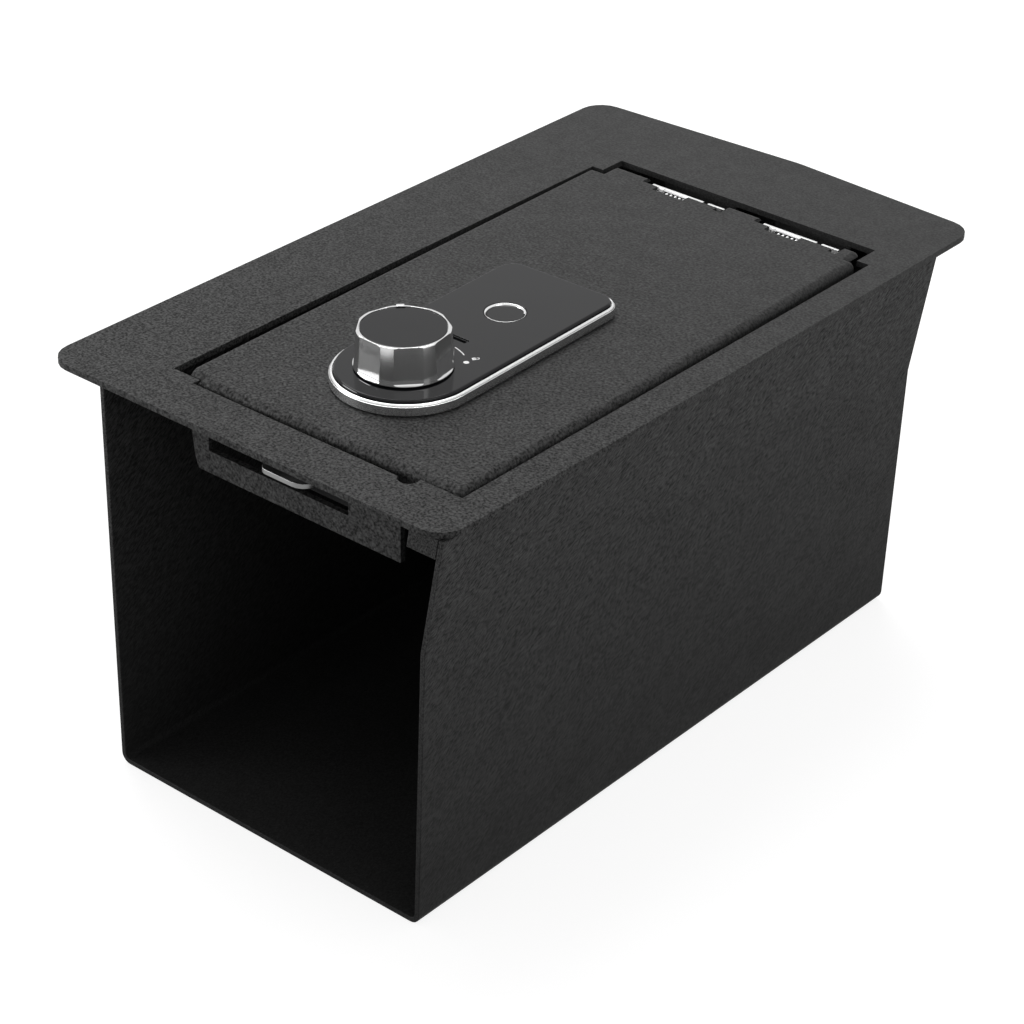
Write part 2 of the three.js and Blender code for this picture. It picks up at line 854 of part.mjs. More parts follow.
function lidPan() {
  const rimFoot = lidRise - lidRim;
  const outside = rolledSlab(lidPlan, 0, rimFoot, lidRise, lidRoll);
  const inside = rolledSlab(lidPlan, lidSheet, rimFoot - 1, lidUnder, lidRoll - lidSheet);
  const rearRim = box(openLeft, openRight, pinY - lidWindowAhead, openRear, rimFoot - 1, lidUnder);
  const notches = [-1, 1].flatMap((side) => {
    const start = hingeStart(side);
    return [
      box(
        start - looseGap,
        start + hingeWidth + lidNotchBeyond,
        pinY - lidNotchAhead,
        openRear,
        rimFoot - 1,
        lidRise + 1,
      ),
      box(
        start + windowStart - 1.2,
        start + windowStart + windowWidth + 1.2,
        pinY - lidWindowAhead,
        openRear,
        rimFoot - 1,
        lidRise + 1,
      ),
      box(
        start + hingeWidth + endNotchBeyond,
        start + hingeWidth + lidNotchBeyond,
        pinY - endNotchAhead,
        openRear,
        rimFoot - 1,
        lidRise + 1,
      ),
    ];
  });
  const shaftHole = rod("z", shaftRadius + looseGap, [lockX, lockY], rimFoot, lidRise + 1);
  const sensorHole = rod("z", sensorRingRadius + looseGap, [sensorX, sensorY], rimFoot, lidRise + 1);
  const portHole = box(
    portX - portWidth / 2 - looseGap,
    portX + portWidth / 2 + looseGap,
    portY - portHeight / 2 - looseGap,
    portY + portHeight / 2 + looseGap,
    rimFoot,
    lidRise + 1,
  );
  const pan = cut(outside, inside, rearRim, ...notches, shaftHole, sensorHole, portHole);
  const studs = [...studPlaces.onCase, ...studPlaces.onBox].map((place) =>
    rod("z", studRadius, place, lidUnder - studLength, lidUnder + 0.5, 12),
  );
  return join(pan, ...studs);
}

// Lock panel

const panelMiddle = lockX + panelOffset;

function panelPlan(inset) {
  const radius = bezelRadius - inset;
  const rear = lockY + bezelTail - inset;
  const corner = Math.max(bezelCorner - inset, 1);
  const points = outlineOf(
    [
      [panelMiddle + radius, rear, corner],
      [panelMiddle - radius, rear, corner],
    ].concat([[panelMiddle - radius, lockY], [panelMiddle + radius, lockY]]),
  ).slice(0, -2);
  for (let degrees = 180; degrees <= 360; degrees += 7.5) {
    const angle = THREE.MathUtils.degToRad(degrees);
    points.push(new THREE.Vector2(panelMiddle + radius * Math.cos(angle), lockY + radius * Math.sin(angle)));
  }
  return points.map((p) => p.rotateAround(new THREE.Vector2(lockX, lockY), THREE.MathUtils.degToRad(panelTurn)));
}

const portBox = (clearance, under, top) =>
  box(
    portX - portWidth / 2 - clearance,
    portX + portWidth / 2 + clearance,
    portY - portHeight / 2 - clearance,
    portY + portHeight / 2 + clearance,
    under,
    top,
  );

function panelHoles(under, top) {
  return [
    rod("z", shaftRadius + looseGap, [lockX, lockY], under, top),
    rod("z", sensorRingRadius + runGap, [sensorX, sensorY], under, top, 36),
    portBox(runGap, under, top),
  ];
}

function lockBezel() {
  const wall = prism("xy", panelPlan(0), bezelBase, bezelTop - bezelChamfer);
  const crest = prism(
    "xy",
    panelPlan(0),
    bezelTop - bezelChamfer - 0.001,
    bezelTop,
    panelPlan(bezelChamfer),
  );
  const pocket = prism("xy", panelPlan(bezelRim), glassUnder - seatGap, bezelTop + 1);
  return cut(join(wall, crest), pocket, ...panelHoles(bezelBase - 1, bezelTop + 1));
}

function glassPanel() {
  const inset = bezelRim + runGap;
  const edge = glassTop - glassChamfer;
  const plate = prism("xy", panelPlan(inset), glassUnder, edge);
  const face = prism("xy", panelPlan(inset), edge - 0.001, glassTop, panelPlan(inset + glassChamfer));
  return cut(join(plate, face), ...panelHoles(bezelBase, glassTop + 1));
}

function sensorRing() {
  const outer = sensorRingRadius;
  const inner = outer - sensorRingWidth;
  const top = glassTop - sensorRingSink;
  const foot = glassTop - sensorDepth;
  const profile = [
    [inner, foot],
    [outer, foot],
    [outer, top],
    [outer - 0.15, top],
    [inner, glassTop - sensorSink],
    [inner, foot],
  ].map(([r, z]) => new THREE.Vector2(r, z));
  return new THREE.LatheGeometry(profile, 40).rotateX(Math.PI / 2).translate(sensorX, sensorY, 0);
}

function sensorPad() {
  const radius = sensorRingRadius - sensorRingWidth - runGap;
  return rod("z", radius, [sensorX, sensorY], glassTop - sensorDepth, glassTop - sensorSink, 40);
}

function portInsert() {
  const top = glassTop - 0.4;
  const shell = portBox(0, glassTop - portDepth, top);
  const mouth = box(
    portX - portWidth / 2 + 0.5,
    portX + portWidth / 2 - 0.5,
    portY - portHeight / 2 + 0.5,
    portY + portHeight / 2 - 0.5,
    glassTop - portDepth + 1,
    top + 1,
  );
  const tongue = box(
    portX - portWidth / 2 + 1.4,
    portX + portWidth / 2 - 1.4,
    portY + 0.1,
    portY + 0.6,
    glassTop - portDepth + 0.5,
    top - 0.8,
  );
  return join(cut(shell, mouth), tongue);
}

// Knob

// Sides of the knob in plan: wide flats with narrow ones between them, at a depth under the round.
function knobPlan(radius, depth) {
  const turn = (2 * Math.PI) / knobFlats;
  const apothem = radius - depth;
  const corner = apothem / Math.cos((wideFlatShare * turn) / 2);
  const firstFlat = THREE.MathUtils.degToRad(firstFlatAngle);
  return Array.from({ length: knobFlats }, (_, i) => firstFlat + i * turn).flatMap((middle) =>
    [-1, 1].map((side) => {
      const angle = middle + (side * wideFlatShare * turn) / 2;
      return new THREE.Vector2(lockX + corner * Math.cos(angle), lockY + corner * Math.sin(angle));
    }),
  );
}

function knobShell() {
  const height = knobHeight;
  const cavityRoof = height - capSheet - seatGap - knobWall;
  const profile = [
    [shaftRadius + runGap, 0.6],
    [knobBossRadius, 0.6],
    [knobBossRadius, cavityRoof],
    [knobTopRadius - knobWall, cavityRoof],
    [knobBaseRadius - knobWall, 0],
    [knobBaseRadius - 0.5, 0],
    [knobBaseRadius, 0.6],
    [knobBaseRadius, 1.6],
    [knobTopRadius, height - 0.9],
    [knobTopRadius - 0.9, height],
    [capRadius + runGap, height],
    [capRadius + runGap, height - capSheet - seatGap],
    [shaftRadius + runGap, height - capSheet - seatGap],
    [shaftRadius + runGap, 0.6],
  ].map(([r, z]) => new THREE.Vector2(r, z + knobBase));
  const round = new THREE.LatheGeometry(profile, 56).rotateX(Math.PI / 2).translate(lockX, lockY, 0);
  const flats = prism(
    "xy",
    knobPlan(knobBaseRadius, flatDepthBase),
    knobBase - 0.01,
    knobTop + 0.01,
    knobPlan(knobTopRadius, flatDepthTop),
  );
  const pointer = THREE.MathUtils.degToRad(90 + pointerAngle);
  const seat = box(
    -pointerWidth / 2 - seatGap,
    pointerWidth / 2 + seatGap,
    capRadius + runGap - 1,
    knobTopRadius + 1,
    knobTop - pointerHeight * 0.6,
    knobTop + 1,
  );
  seat.rotateZ(pointer - Math.PI / 2).translate(lockX, lockY, 0);
  return cut(common(round, flats), seat);
}

function knobPointer() {
  const reach = knobTopRadius + 0.3;
  const lug = box(
    -pointerWidth / 2,
    pointerWidth / 2,
    reach - pointerLength,
    reach,
    knobTop - pointerHeight * 0.6 + seatGap,
    knobTop + pointerHeight * 0.4,
  );
  return lug.rotateZ(THREE.MathUtils.degToRad(pointerAngle)).translate(lockX, lockY, 0);
}

function knobCap() {
  const profile = [
    [0, -capSheet],
    [capRadius, -capSheet],
    [capRadius, -0.3],
    [capRadius - 0.3, 0],
    [0, 0],
  ].map(([r, z]) => new THREE.Vector2(r, z + knobTop - 0.15));
  const disc = new THREE.LatheGeometry(profile, 48).rotateX(Math.PI / 2).translate(lockX, lockY, 0);
  const notch = box(
    -pointerWidth / 2 - seatGap,
    pointerWidth / 2 + seatGap,
    knobTopRadius + 0.3 - pointerLength - seatGap,
    knobTopRadius + 1,
    knobTop - capSheet - 1,
    knobTop + 1,
  );
  notch.rotateZ(THREE.MathUtils.degToRad(pointerAngle)).translate(lockX, lockY, 0);
  return cut(disc, notch);
}

function knobSpindle() {
  const top = knobTop - capSheet - 2 * seatGap - 1.2;
  return rod("z", shaftRadius, [lockX, lockY], camUnder + 0.3, top);
}

// The drive pin swings through a quarter turn, evenly to each side of the line across the bolt.
function driveCam() {
  const top = camUnder + camSheet;
  const disc = rod("z", camRadius, [lockX, lockY], camUnder, top, 36);
  const hub = rod("z", shaftRadius + 2, [lockX, lockY], camUnder, top + 3);
  const bore = rod("z", shaftRadius + runGap, [lockX, lockY], camUnder - 1, top + 4);
  const angle = THREE.MathUtils.degToRad(225);
  const place = [lockX + camThrow * Math.cos(angle), lockY + camThrow * Math.sin(angle)];
  const pin = rod("z", camPinRadius, place, boltUnder + 0.3, camUnder + 0.5, 16);
  return join(cut(join(disc, hub), bore), pin);
}

// Lock case and bolt

const ear = (x, y, top) => box(x - earReach / 2 - 1, x + earReach / 2, y - earLength / 2, y + earLength / 2, top - earSheet, top);

function mountingEars(places, top) {
  return places.map(([x, y]) => {
    const plate = ear(x, y, top);
    return x < lockX ? plate.translate(1, 0, 0) : plate;
  });
}

const earHoles = (places, top) =>
  places.map((place) => rod("z", studRadius + runGap, place, top - earSheet - 1, top + 1, 12));

function lockCase() {
  const left = lockX - caseHalfWidth;
  const right = lockX + caseHalfWidth;
  const boardTop = caseTop - boardDrop;
  const block = box(left, right, caseFront, caseRear, caseUnder, caseTop);
  const hollow = box(left + caseWall, right - caseWall, caseFront + caseWall, caseRear - caseWall, caseFloor, caseTop + 1);
  const boltDoor = box(
    boltX - boltWidth / 2 - looseGap,
    boltX + boltWidth / 2 + looseGap,
    caseFront - 1,
    caseFront + caseWall + 1,
    boltUnder - looseGap,
    -boltTop + looseGap,
  );
  const leadHole = rod("y", leadRadius + runGap, [lockX, caseTop - 8], caseRear - caseWall - 1, caseRear + 1, 12);
  const ledges = [left + caseWall - 0.1, right - caseWall + 0.1 - ledgeWidth].map((x) =>
    box(
      x,
      x + ledgeWidth,
      caseRear - caseWall - boardFromRear - boardLength,
      caseRear - caseWall + 0.1,
      caseFloor - 0.1,
      boardTop - boardSheet - seatGap,
    ),
  );
  const shell = cut(block, hollow, boltDoor, leadHole);
  const ears = mountingEars(studPlaces.onCase, caseTop);
  return cut(join(shell, ...ledges, ...ears), ...earHoles(studPlaces.onCase, caseTop));
}

function slideBolt() {
  const nose = flapOuter - boltReach;
  const tail = lockY + boltTail;
  const left = boltX - boltWidth / 2;
  const right = boltX + boltWidth / 2;
  const plate = prism(
    "xy",
    outlineOf([
      [left, nose, boltCornerLeft],
      [right, nose, boltCornerRight],
      [right, tail, 1],
      [left, tail, 1],
    ]),
    boltUnder,
    -boltTop,
  );
  const pinY0 = lockY - camThrow / Math.SQRT2;
  const slotReach = camPinRadius + runGap;
  const crossSlot = box(
    lockX - camThrow - slotReach - 0.4,
    lockX - camThrow / Math.SQRT2 + slotReach + 0.4,
    pinY0 - slotReach - 0.25,
    pinY0 + slotReach + 0.25,
    boltUnder - 1,
    -boltTop + 1,
  );
  return cut(plate, crossSlot);
}

function boltGuide() {
  const inner = boltWidth / 2 + runGap;
  const outer = inner + guideWall;
  const front = caseFront + caseWall + seatGap;
  const rear = front + guideLength;
  const foot = caseFloor + seatGap;
  const bed = box(boltX - outer, boltX + outer, front, rear, foot, boltUnder - runGap);
  const lipTop = -boltTop + runGap + guideBed;
  const sides = [-1, 1].flatMap((way) => {
    const xs = (a, b) => [boltX + way * a, boltX + way * b].sort((p, q) => p - q);
    const [r0, r1] = xs(inner, outer);
    const [l0, l1] = xs(inner - guideLip, outer);
    return [
      box(r0, r1, front, rear, foot, lipTop),
      box(l0, l1, front, rear - camRadius, -boltTop + runGap, lipTop),
    ];
  });
  return join(bed, ...sides);
}

function circuitBoard() {
  const top = caseTop - boardDrop;
  const rear = caseRear - caseWall - boardFromRear;
  const left = lockX - boardWidth / 2;
  const board = box(left, left + boardWidth, rear - boardLength, rear, top - boardSheet, top);
  const middle = rear - boardLength / 2;
  const under = top - boardSheet;
  const fitted = (aside, behind, width, length, height) =>
    box(
      lockX + aside - width / 2,
      lockX + aside + width / 2,
      middle + behind - length / 2,
      middle + behind + length / 2,
      under - height,
      under + 0.2,
    );
  return join(
    board,
    fitted(0, -chipAhead, chipWidth, chipWidth, chipHeight),
    fitted(relayAside, relayBehind, relayWidth, relayLength, relayHeight),
    fitted(plugAside, plugBehind, plugWidth, plugLength, plugHeight),
  );
}

function gearMotor() {
  const y = lockY + boltTail + boltStroke + motorRadius + looseGap;
  const x0 = lockX - motorLength / 2;
  const z = caseFloor + seatGap + motorRadius;
  const can = rod("x", motorRadius, [y, z], x0, x0 + motorLength, 20);
  const end = x0 - gearboxLength;
  const gearbox = box(end, x0 + 0.5, y - motorRadius, y + motorRadius, z - motorRadius, z + motorRadius);
  const shaft = rod("x", 1, [y, z], end - motorShaftReach, end + 1, 10);
  return join(can, gearbox, shaft);
}

// Battery box

function batteryBox() {
  const left = lockX - boxHalfWidth;
  const right = lockX + boxHalfWidth;
  const block = box(left, right, boxFront, boxRear, boxUnder, caseTop);
  const hollow = box(
    left + boxWall,
    right - boxWall,
    boxFront + boxWall,
    boxRear - boxWall,
    coverTop - 0.01,
    caseTop - boxWall,
  );
  const mouth = box(
    left + boxWall,
    right - boxWall,
    boxFront + boxWall,
    boxRear + 1,
    boxUnder - 1,
    coverTop + runGap,
  );
  const grooves = box(
    left + boxWall - coverGroove,
    right - boxWall + coverGroove,
    boxFront + boxWall - coverGroove,
    boxRear + 1,
    coverTop - coverSheet - runGap,
    coverTop + runGap,
  );
  const lips = [left + boxWall - 0.1, right - boxWall + 0.1 - coverGroove].map((x) =>
    box(x, x + coverGroove, boxFront + 0.5, boxRear, boxUnder, coverTop - coverSheet - runGap),
  );
  const leadHole = rod("y", leadRadius + runGap, [lockX, caseTop - 8], boxFront - 1, boxFront + boxWall + 0.5, 12);
  const shell = join(cut(block, hollow, mouth, grooves, leadHole), ...lips);
  const ears = mountingEars(studPlaces.onBox, caseTop);
  return cut(join(shell, ...ears), ...earHoles(studPlaces.onBox, caseTop));
}

function batteryCover() {
  const halfWidth = boxHalfWidth - boxWall + coverGroove - runGap;
  const front = boxFront + boxWall - coverGroove + runGap;
  const plate = box(lockX - halfWidth, lockX + halfWidth, front, boxRear, coverTop - coverSheet, coverTop);
  const under = coverTop - coverSheet;
  const grips = Array.from({ length: gripCount }, (_, i) => boxRear - gripFromEnd - gripPitch * i).map((y) =>
    box(lockX - gripWidth / 2, lockX + gripWidth / 2, y - gripPitch / 3, y, under - gripHeight, under + 0.5),
  );
  return join(plate, ...grips);
}

function batteryCell(index) {
  const x = lockX + (index - (cellCount - 1) / 2) * cellPitch;
  const start = boxFront + boxWall + contactSheet + 2 * runGap;
  const end = start + cellLength;
  const flip = index % 2 === 0;
  const can = rod("y", cellRadius, [x, cellCentreZ], flip ? start : start + 1, flip ? end - 1 : end, 24);
  const nub = rod("y", 1.9, [x, cellCentreZ], flip ? end - 1.5 : start, flip ? end : start + 1.5, 16);
  return join(can, nub);
}

function batteryContacts(atRear) {
  const halfWidth = boxHalfWidth - boxWall - runGap;
  const y = atRear ? boxRear - boxWall - runGap - contactSheet : boxFront + boxWall + runGap;
  return box(
    lockX - halfWidth,
    lockX + halfWidth,
    y,
    y + contactSheet,
    cellCentreZ - cellRadius + 1,
    caseTop - boxWall - runGap,
  );
}

const batteryLead = () =>
  rod("y", leadRadius, [lockX, caseTop - 8], caseRear - caseWall, boxFront + boxWall - 0.5, 12);

function studNut([x, y]) {
  const radius = nutFlats / Math.sqrt(3);
  const top = caseTop - earSheet - seatGap;
  const hex = new THREE.CylinderGeometry(radius, radius, nutHeight, 6).rotateX(Math.PI / 2);
  hex.translate(x, y, top - nutHeight / 2);
  return cut(hex, rod("z", studRadius + runGap, [x, y], top - nutHeight - 1, top + 1, 12));
}

// Finishes

const finish = (color, roughness, metalness) => () =>
  new THREE.MeshStandardMaterial({ color, roughness, metalness });

const blackPowderCoat = finish(0x2c2c2d, 0.62, 0.1);
const texturedLidCoat = finish(0x303031, 0.58, 0.1);
const zincSteel = finish(0xb9bcc0, 0.35, 0.95);
const satinChrome = finish(0xc4c6c9, 0.2, 1);
const brightChrome = finish(0xd4d5d8, 0.1, 1);
const blackGlass = finish(0x1a1a1b, 0.08, 0);
const blackPlastic = finish(0x1c1c1d, 0.4, 0);
const moulding = finish(0x232325, 0.55, 0);
const boardGreen = finish(0x1e5a37, 0.5, 0.1);
const motorCan = finish(0x9da0a3, 0.35, 0.9);
const cellWrap = finish(0x3a4653, 0.35, 0.1);
const contactSpring = finish(0xc9b27a, 0.3, 0.9);

// The safe

const safe = new THREE.Group();
safe.position.set(-sidePeak / 2, 0, bodyDepth);

function add(name, geometry, material) {
  const mesh = new THREE.Mesh(geometry, material());
  mesh.name = name;
  safe.add(mesh);
}

add("body_shell", bodyShell(), blackPowderCoat);
add("back_wall", backWall(), blackPowderCoat);
add("top_frame", topFrame(), blackPowderCoat);
add("front_gusset", frontGusset(), blackPowderCoat);

for (const [side, label] of [
  [-1, "left"],
  [1, "right"],
]) {
  add(`hinge_bracket_${label}`, hingeBracket(side), blackPowderCoat);
  add(`hinge_frame_leaf_${label}`, frameLeaf(side), zincSteel);
  add(`hinge_lid_leaf_${label}`, lidLeaf(side), zincSteel);
  add(`hinge_pin_${label}`, hingePin(side), zincSteel);
  add(`hinge_spring_${label}`, hingeSpring(side), zincSteel);
  leafScrews.forEach((_, i) => add(`hinge_screw_${label}_${i + 1}`, leafScrew(side, i), zincSteel));
}

add("lid_pan", lidPan(), texturedLidCoat);
add("lock_bezel", lockBezel(), satinChrome);
add("glass_panel", glassPanel(), blackGlass);
add("sensor_ring", sensorRing(), brightChrome);
add("sensor_pad", sensorPad(), blackGlass);
add("power_port", portInsert(), blackPlastic);

add("knob_shell", knobShell(), brightChrome);
add("knob_cap", knobCap(), blackPlastic);
add("knob_pointer", knobPointer(), brightChrome);
add("knob_spindle", knobSpindle(), zincSteel);
add("drive_cam", driveCam(), zincSteel);

add("lock_case", lockCase(), moulding);
add("bolt", slideBolt(), zincSteel);
add("bolt_guide", boltGuide(), moulding);
add("circuit_board", circuitBoard(), boardGreen);
add("gear_motor", gearMotor(), motorCan);
studPlaces.onCase.forEach((place, i) => add(`case_nut_${i + 1}`, studNut(place), zincSteel));

add("battery_box", batteryBox(), moulding);
add("battery_cover", batteryCover(), moulding);
for (let i = 0; i < cellCount; i++) add(`battery_cell_${i + 1}`, batteryCell(i), cellWrap);
add("battery_contacts_front", batteryContacts(false), contactSpring);
add("battery_contacts_rear", batteryContacts(true), contactSpring);
add("battery_lead", batteryLead(), blackPlastic);
studPlaces.onBox.forEach((place, i) => add(`box_nut_${i + 1}`, studNut(place), zincSteel));

export default safe;
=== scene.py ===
import json
import math

import bmesh
import bpy
from mathutils import Matrix, Vector


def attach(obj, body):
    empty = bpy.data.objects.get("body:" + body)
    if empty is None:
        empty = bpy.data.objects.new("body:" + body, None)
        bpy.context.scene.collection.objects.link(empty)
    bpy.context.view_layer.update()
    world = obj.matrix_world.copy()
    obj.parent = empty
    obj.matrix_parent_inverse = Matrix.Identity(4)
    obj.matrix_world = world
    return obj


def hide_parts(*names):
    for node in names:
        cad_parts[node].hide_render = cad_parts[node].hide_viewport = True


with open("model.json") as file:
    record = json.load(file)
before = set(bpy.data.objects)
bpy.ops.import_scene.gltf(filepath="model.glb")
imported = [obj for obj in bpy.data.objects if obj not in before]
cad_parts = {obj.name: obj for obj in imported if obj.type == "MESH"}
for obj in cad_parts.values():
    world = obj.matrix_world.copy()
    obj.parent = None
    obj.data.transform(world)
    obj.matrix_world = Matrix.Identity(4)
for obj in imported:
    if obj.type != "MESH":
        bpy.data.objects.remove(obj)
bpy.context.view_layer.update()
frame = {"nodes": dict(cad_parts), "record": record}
nodes = frame["nodes"]
body_of = {n: body for body, members in frame["record"]["behaviour"]["bodies"].items() for n in members}

MM = 0.001

# Corners this close to a level, in millimetres, count as lying on it.
ON_LEVEL = 0.01

# The lock panel: the knob's axis, the panel's middle line and its turn, and the levels of bezel and glass.
KNOB_X, KNOB_Y = 15.1, -99.0
PANEL_X = 16.0
PANEL_RADIUS = 29.8
PANEL_TAIL = 101.6
PANEL_CORNER = 9.5
PANEL_TURN = 1.5
BEZEL_FOOT, BEZEL_TOP = 183.95, 188.95
GLASS_FOOT, GLASS_TOP = 188.35, 190.25
SENSOR_X, SENSOR_Y, SENSOR_RADIUS = 14.9, -38.1, 8.45
PORT_X, PORT_Y, PORT_WIDTH, PORT_HEIGHT = 16.1, -68.0, 9.0, 2.8
KNOB_FOOT, KNOB_TOP = 190.75, 206.95
FIRST_FLAT = -42
KNOB_BASE_RADIUS, KNOB_TOP_RADIUS, CAP_RADIUS = 19.9, 18.7, 17.0
FLATS = 7
FLAT_DISTANCE, FLAT_LEAN = 18.98, -4.2
POINTER_TURN = 46

# Openings cut through bezel and glass: their levels, and their radii round the knob's spindle and the sensor.
CUT_FOOT, CUT_TOP = 180, 194
SPINDLE_HOLE, BEZEL_SENSOR_HOLE, GLASS_SENSOR_HOLE = 4.1, 9.2, 8.85

# The hinges: the pin's line, where each hinge starts, and its spring.
PIN_Y, PIN_Z = 113.85, 177.2
HINGE_STARTS = {"left": -30.85, "right": 30.15}
SPRING_RADIUS, SPRING_WIRE, SPRING_PITCH, SPRING_TURNS = 1.9, 1.6, 2.36, 5.5
SPRING_LEG = 2.6
SPRING_BAY_START, SPRING_BAY = 9, 14.6


def spot(x, y, z):
    """A place given in millimetres."""
    return Vector((x * MM, y * MM, z * MM))


# Working on one piece

def only(piece):
    """Leaves this piece alone selected and active, in object mode."""
    if bpy.context.object and bpy.context.object.mode != "OBJECT":
        bpy.ops.object.mode_set(mode="OBJECT")
    bpy.ops.object.select_all(action="DESELECT")
    piece.select_set(True)
    bpy.context.view_layer.objects.active = piece


def keep_place(piece):
    """Moves the place, turn and size of a piece into its mesh."""
    only(piece)
    bpy.ops.object.transform_apply(location=True, rotation=True, scale=True)


def block(x0, x1, y0, y1, z0, z1):
    bpy.ops.object.select_all(action="DESELECT")
    bpy.ops.mesh.primitive_cube_add(
        size=1,
        location=spot((x0 + x1) / 2, (y0 + y1) / 2, (z0 + z1) / 2),
        scale=spot(x1 - x0, y1 - y0, z1 - z0),
    )
    piece = bpy.context.object
    keep_place(piece)
    return piece


def disc(x, y, radius, z0, z1, sides=96):
    bpy.ops.object.select_all(action="DESELECT")
    bpy.ops.mesh.primitive_cylinder_add(
        vertices=sides, radius=radius * MM, depth=(z1 - z0) * MM, location=spot(x, y, (z0 + z1) / 2)
    )
    piece = bpy.context.object
    keep_place(piece)
    return piece


def pick(piece, kind, test):
    """Goes into edit mode and selects the corners, edges or faces that pass the test."""
    only(piece)
    bpy.ops.object.mode_set(mode="EDIT")
    bpy.ops.mesh.select_mode(type=kind)
    bpy.ops.mesh.select_all(action="DESELECT")
    mesh = bmesh.from_edit_mesh(piece.data)
    chosen = {"VERT": mesh.verts, "EDGE": mesh.edges, "FACE": mesh.faces}[kind]
    for item in chosen:
        if test(item):
            item.select_set(True)
    mesh.select_flush_mode()
    bmesh.update_edit_mesh(piece.data)


def done():
    bpy.ops.object.mode_set(mode="OBJECT")


def middle(item):
    """The middle of an edge or face, in millimetres."""
    return sum((v.co for v in item.verts), Vector()) / len(item.verts) / MM


def upright(edge):
    a, b = edge.verts
    return abs(a.co.z - b.co.z) > 0.9 * (a.co - b.co).length


def at_level(item, z):
    return all(abs(v.co.z / MM - z) < ON_LEVEL for v in item.verts)


def rim_edges(z):
    """Picks the outline of a flat top or foot face at a level."""
    return lambda e: at_level(e, z) and any(abs(f.normal.z) < 0.7 for f in e.link_faces)


def round_edges(piece, test, width, segments=3):
    pick(piece, "EDGE", test)
    bpy.ops.mesh.bevel(offset=width * MM, segments=segments, profile=0.5, affect="EDGES", clamp_overlap=True)
    done()


def sink_face(piece, test, border, depth):
    """Insets the picked face by a border and pushes it down, or up when the depth is negative."""
    pick(piece, "FACE", test)
    bpy.ops.mesh.inset(thickness=border * MM, use_even_offset=True)
    bpy.ops.mesh.extrude_region_move(TRANSFORM_OT_translate={"value": (0, 0, -depth * MM)})
    done()


def carve(piece, *cutters, operation="DIFFERENCE"):
    for cutter in cutters:
        change = piece.modifiers.new("carve", "BOOLEAN")
        change.operation = operation
        change.solver = "EXACT"
        change.object = cutter
        only(piece)
        bpy.ops.object.modifier_apply(modifier=change.name)
        bpy.data.objects.remove(cutter, do_unlink=True)


def soften(piece, width, segments=2, angle=28):
    """Rounds every sharp edge of a piece a little, and shades it smooth across soft ones."""
    change = piece.modifiers.new("soften", "BEVEL")
    change.width = width * MM
    change.segments = segments
    change.limit_method = "ANGLE"
    change.angle_limit = math.radians(angle)
    change.miter_outer = "MITER_ARC"
    only(piece)
    bpy.ops.object.modifier_apply(modifier=change.name)
    bpy.ops.object.shade_smooth_by_angle(angle=math.radians(34))
    level = piece.modifiers.new("level", "WEIGHTED_NORMAL")
    level.keep_sharp = True
    bpy.ops.object.modifier_apply(modifier=level.name)


def turned(piece, degrees):
    """Turns a piece about the knob's axis."""
    keep_place(piece)
    pivot = spot(KNOB_X, KNOB_Y, 0)
    turn = Matrix.Rotation(math.radians(degrees), 4, "Z")
    piece.matrix_world = Matrix.Translation(pivot) @ turn @ Matrix.Translation(-pivot) @ piece.matrix_world
    keep_place(piece)
    return piece


def joined(*pieces):
    only(pieces[0])
    for piece in pieces[1:]:
        piece.select_set(True)
    bpy.ops.object.join()
    return pieces[0]


def fit(piece, name, material, body, slot, *stands_for):
    """Names a finished piece, gives it its finish and hangs it on its body."""
    keep_place(piece)
    piece.name = piece.data.name = name
    piece.data.materials.clear()
    piece.data.materials.append(material)
    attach(piece, body)
    if stands_for:
        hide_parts(*stands_for)
    return piece


# Finishes

def finish(name, color, roughness, metallic=0.0, **more):
    """A new material with its shader set. Returns it with a function that adds nodes, its links and the shader."""
    material = bpy.data.materials.new(name)
    material.use_nodes = True
    tree = material.node_tree
    shader = tree.nodes["Principled BSDF"]
    shader.inputs["Base Color"].default_value = (*color, 1)
    shader.inputs["Roughness"].default_value = roughness
    shader.inputs["Metallic"].default_value = metallic
    for socket, value in more.items():
        shader.inputs[socket.replace("_", " ")].default_value = value

    def add(kind, **settings):
        node = tree.nodes.new("ShaderNode" + kind)
        for key, value in settings.items():
            if hasattr(node, key) and not key[0].isupper():
                setattr(node, key, value)
            else:
                node.inputs[key.replace("_", " ")].default_value = value
        return node

    return material, add, tree.links.new, shader


def spread(add, link, source, low, high, span=(0.0, 1.0)):
    """Maps a pattern from its own span to low and high."""
    node = add("MapRange", From_Min=span[0], From_Max=span[1], To_Min=low, To_Max=high)
    link(source, node.inputs["Value"])
    return node.outputs["Result"]


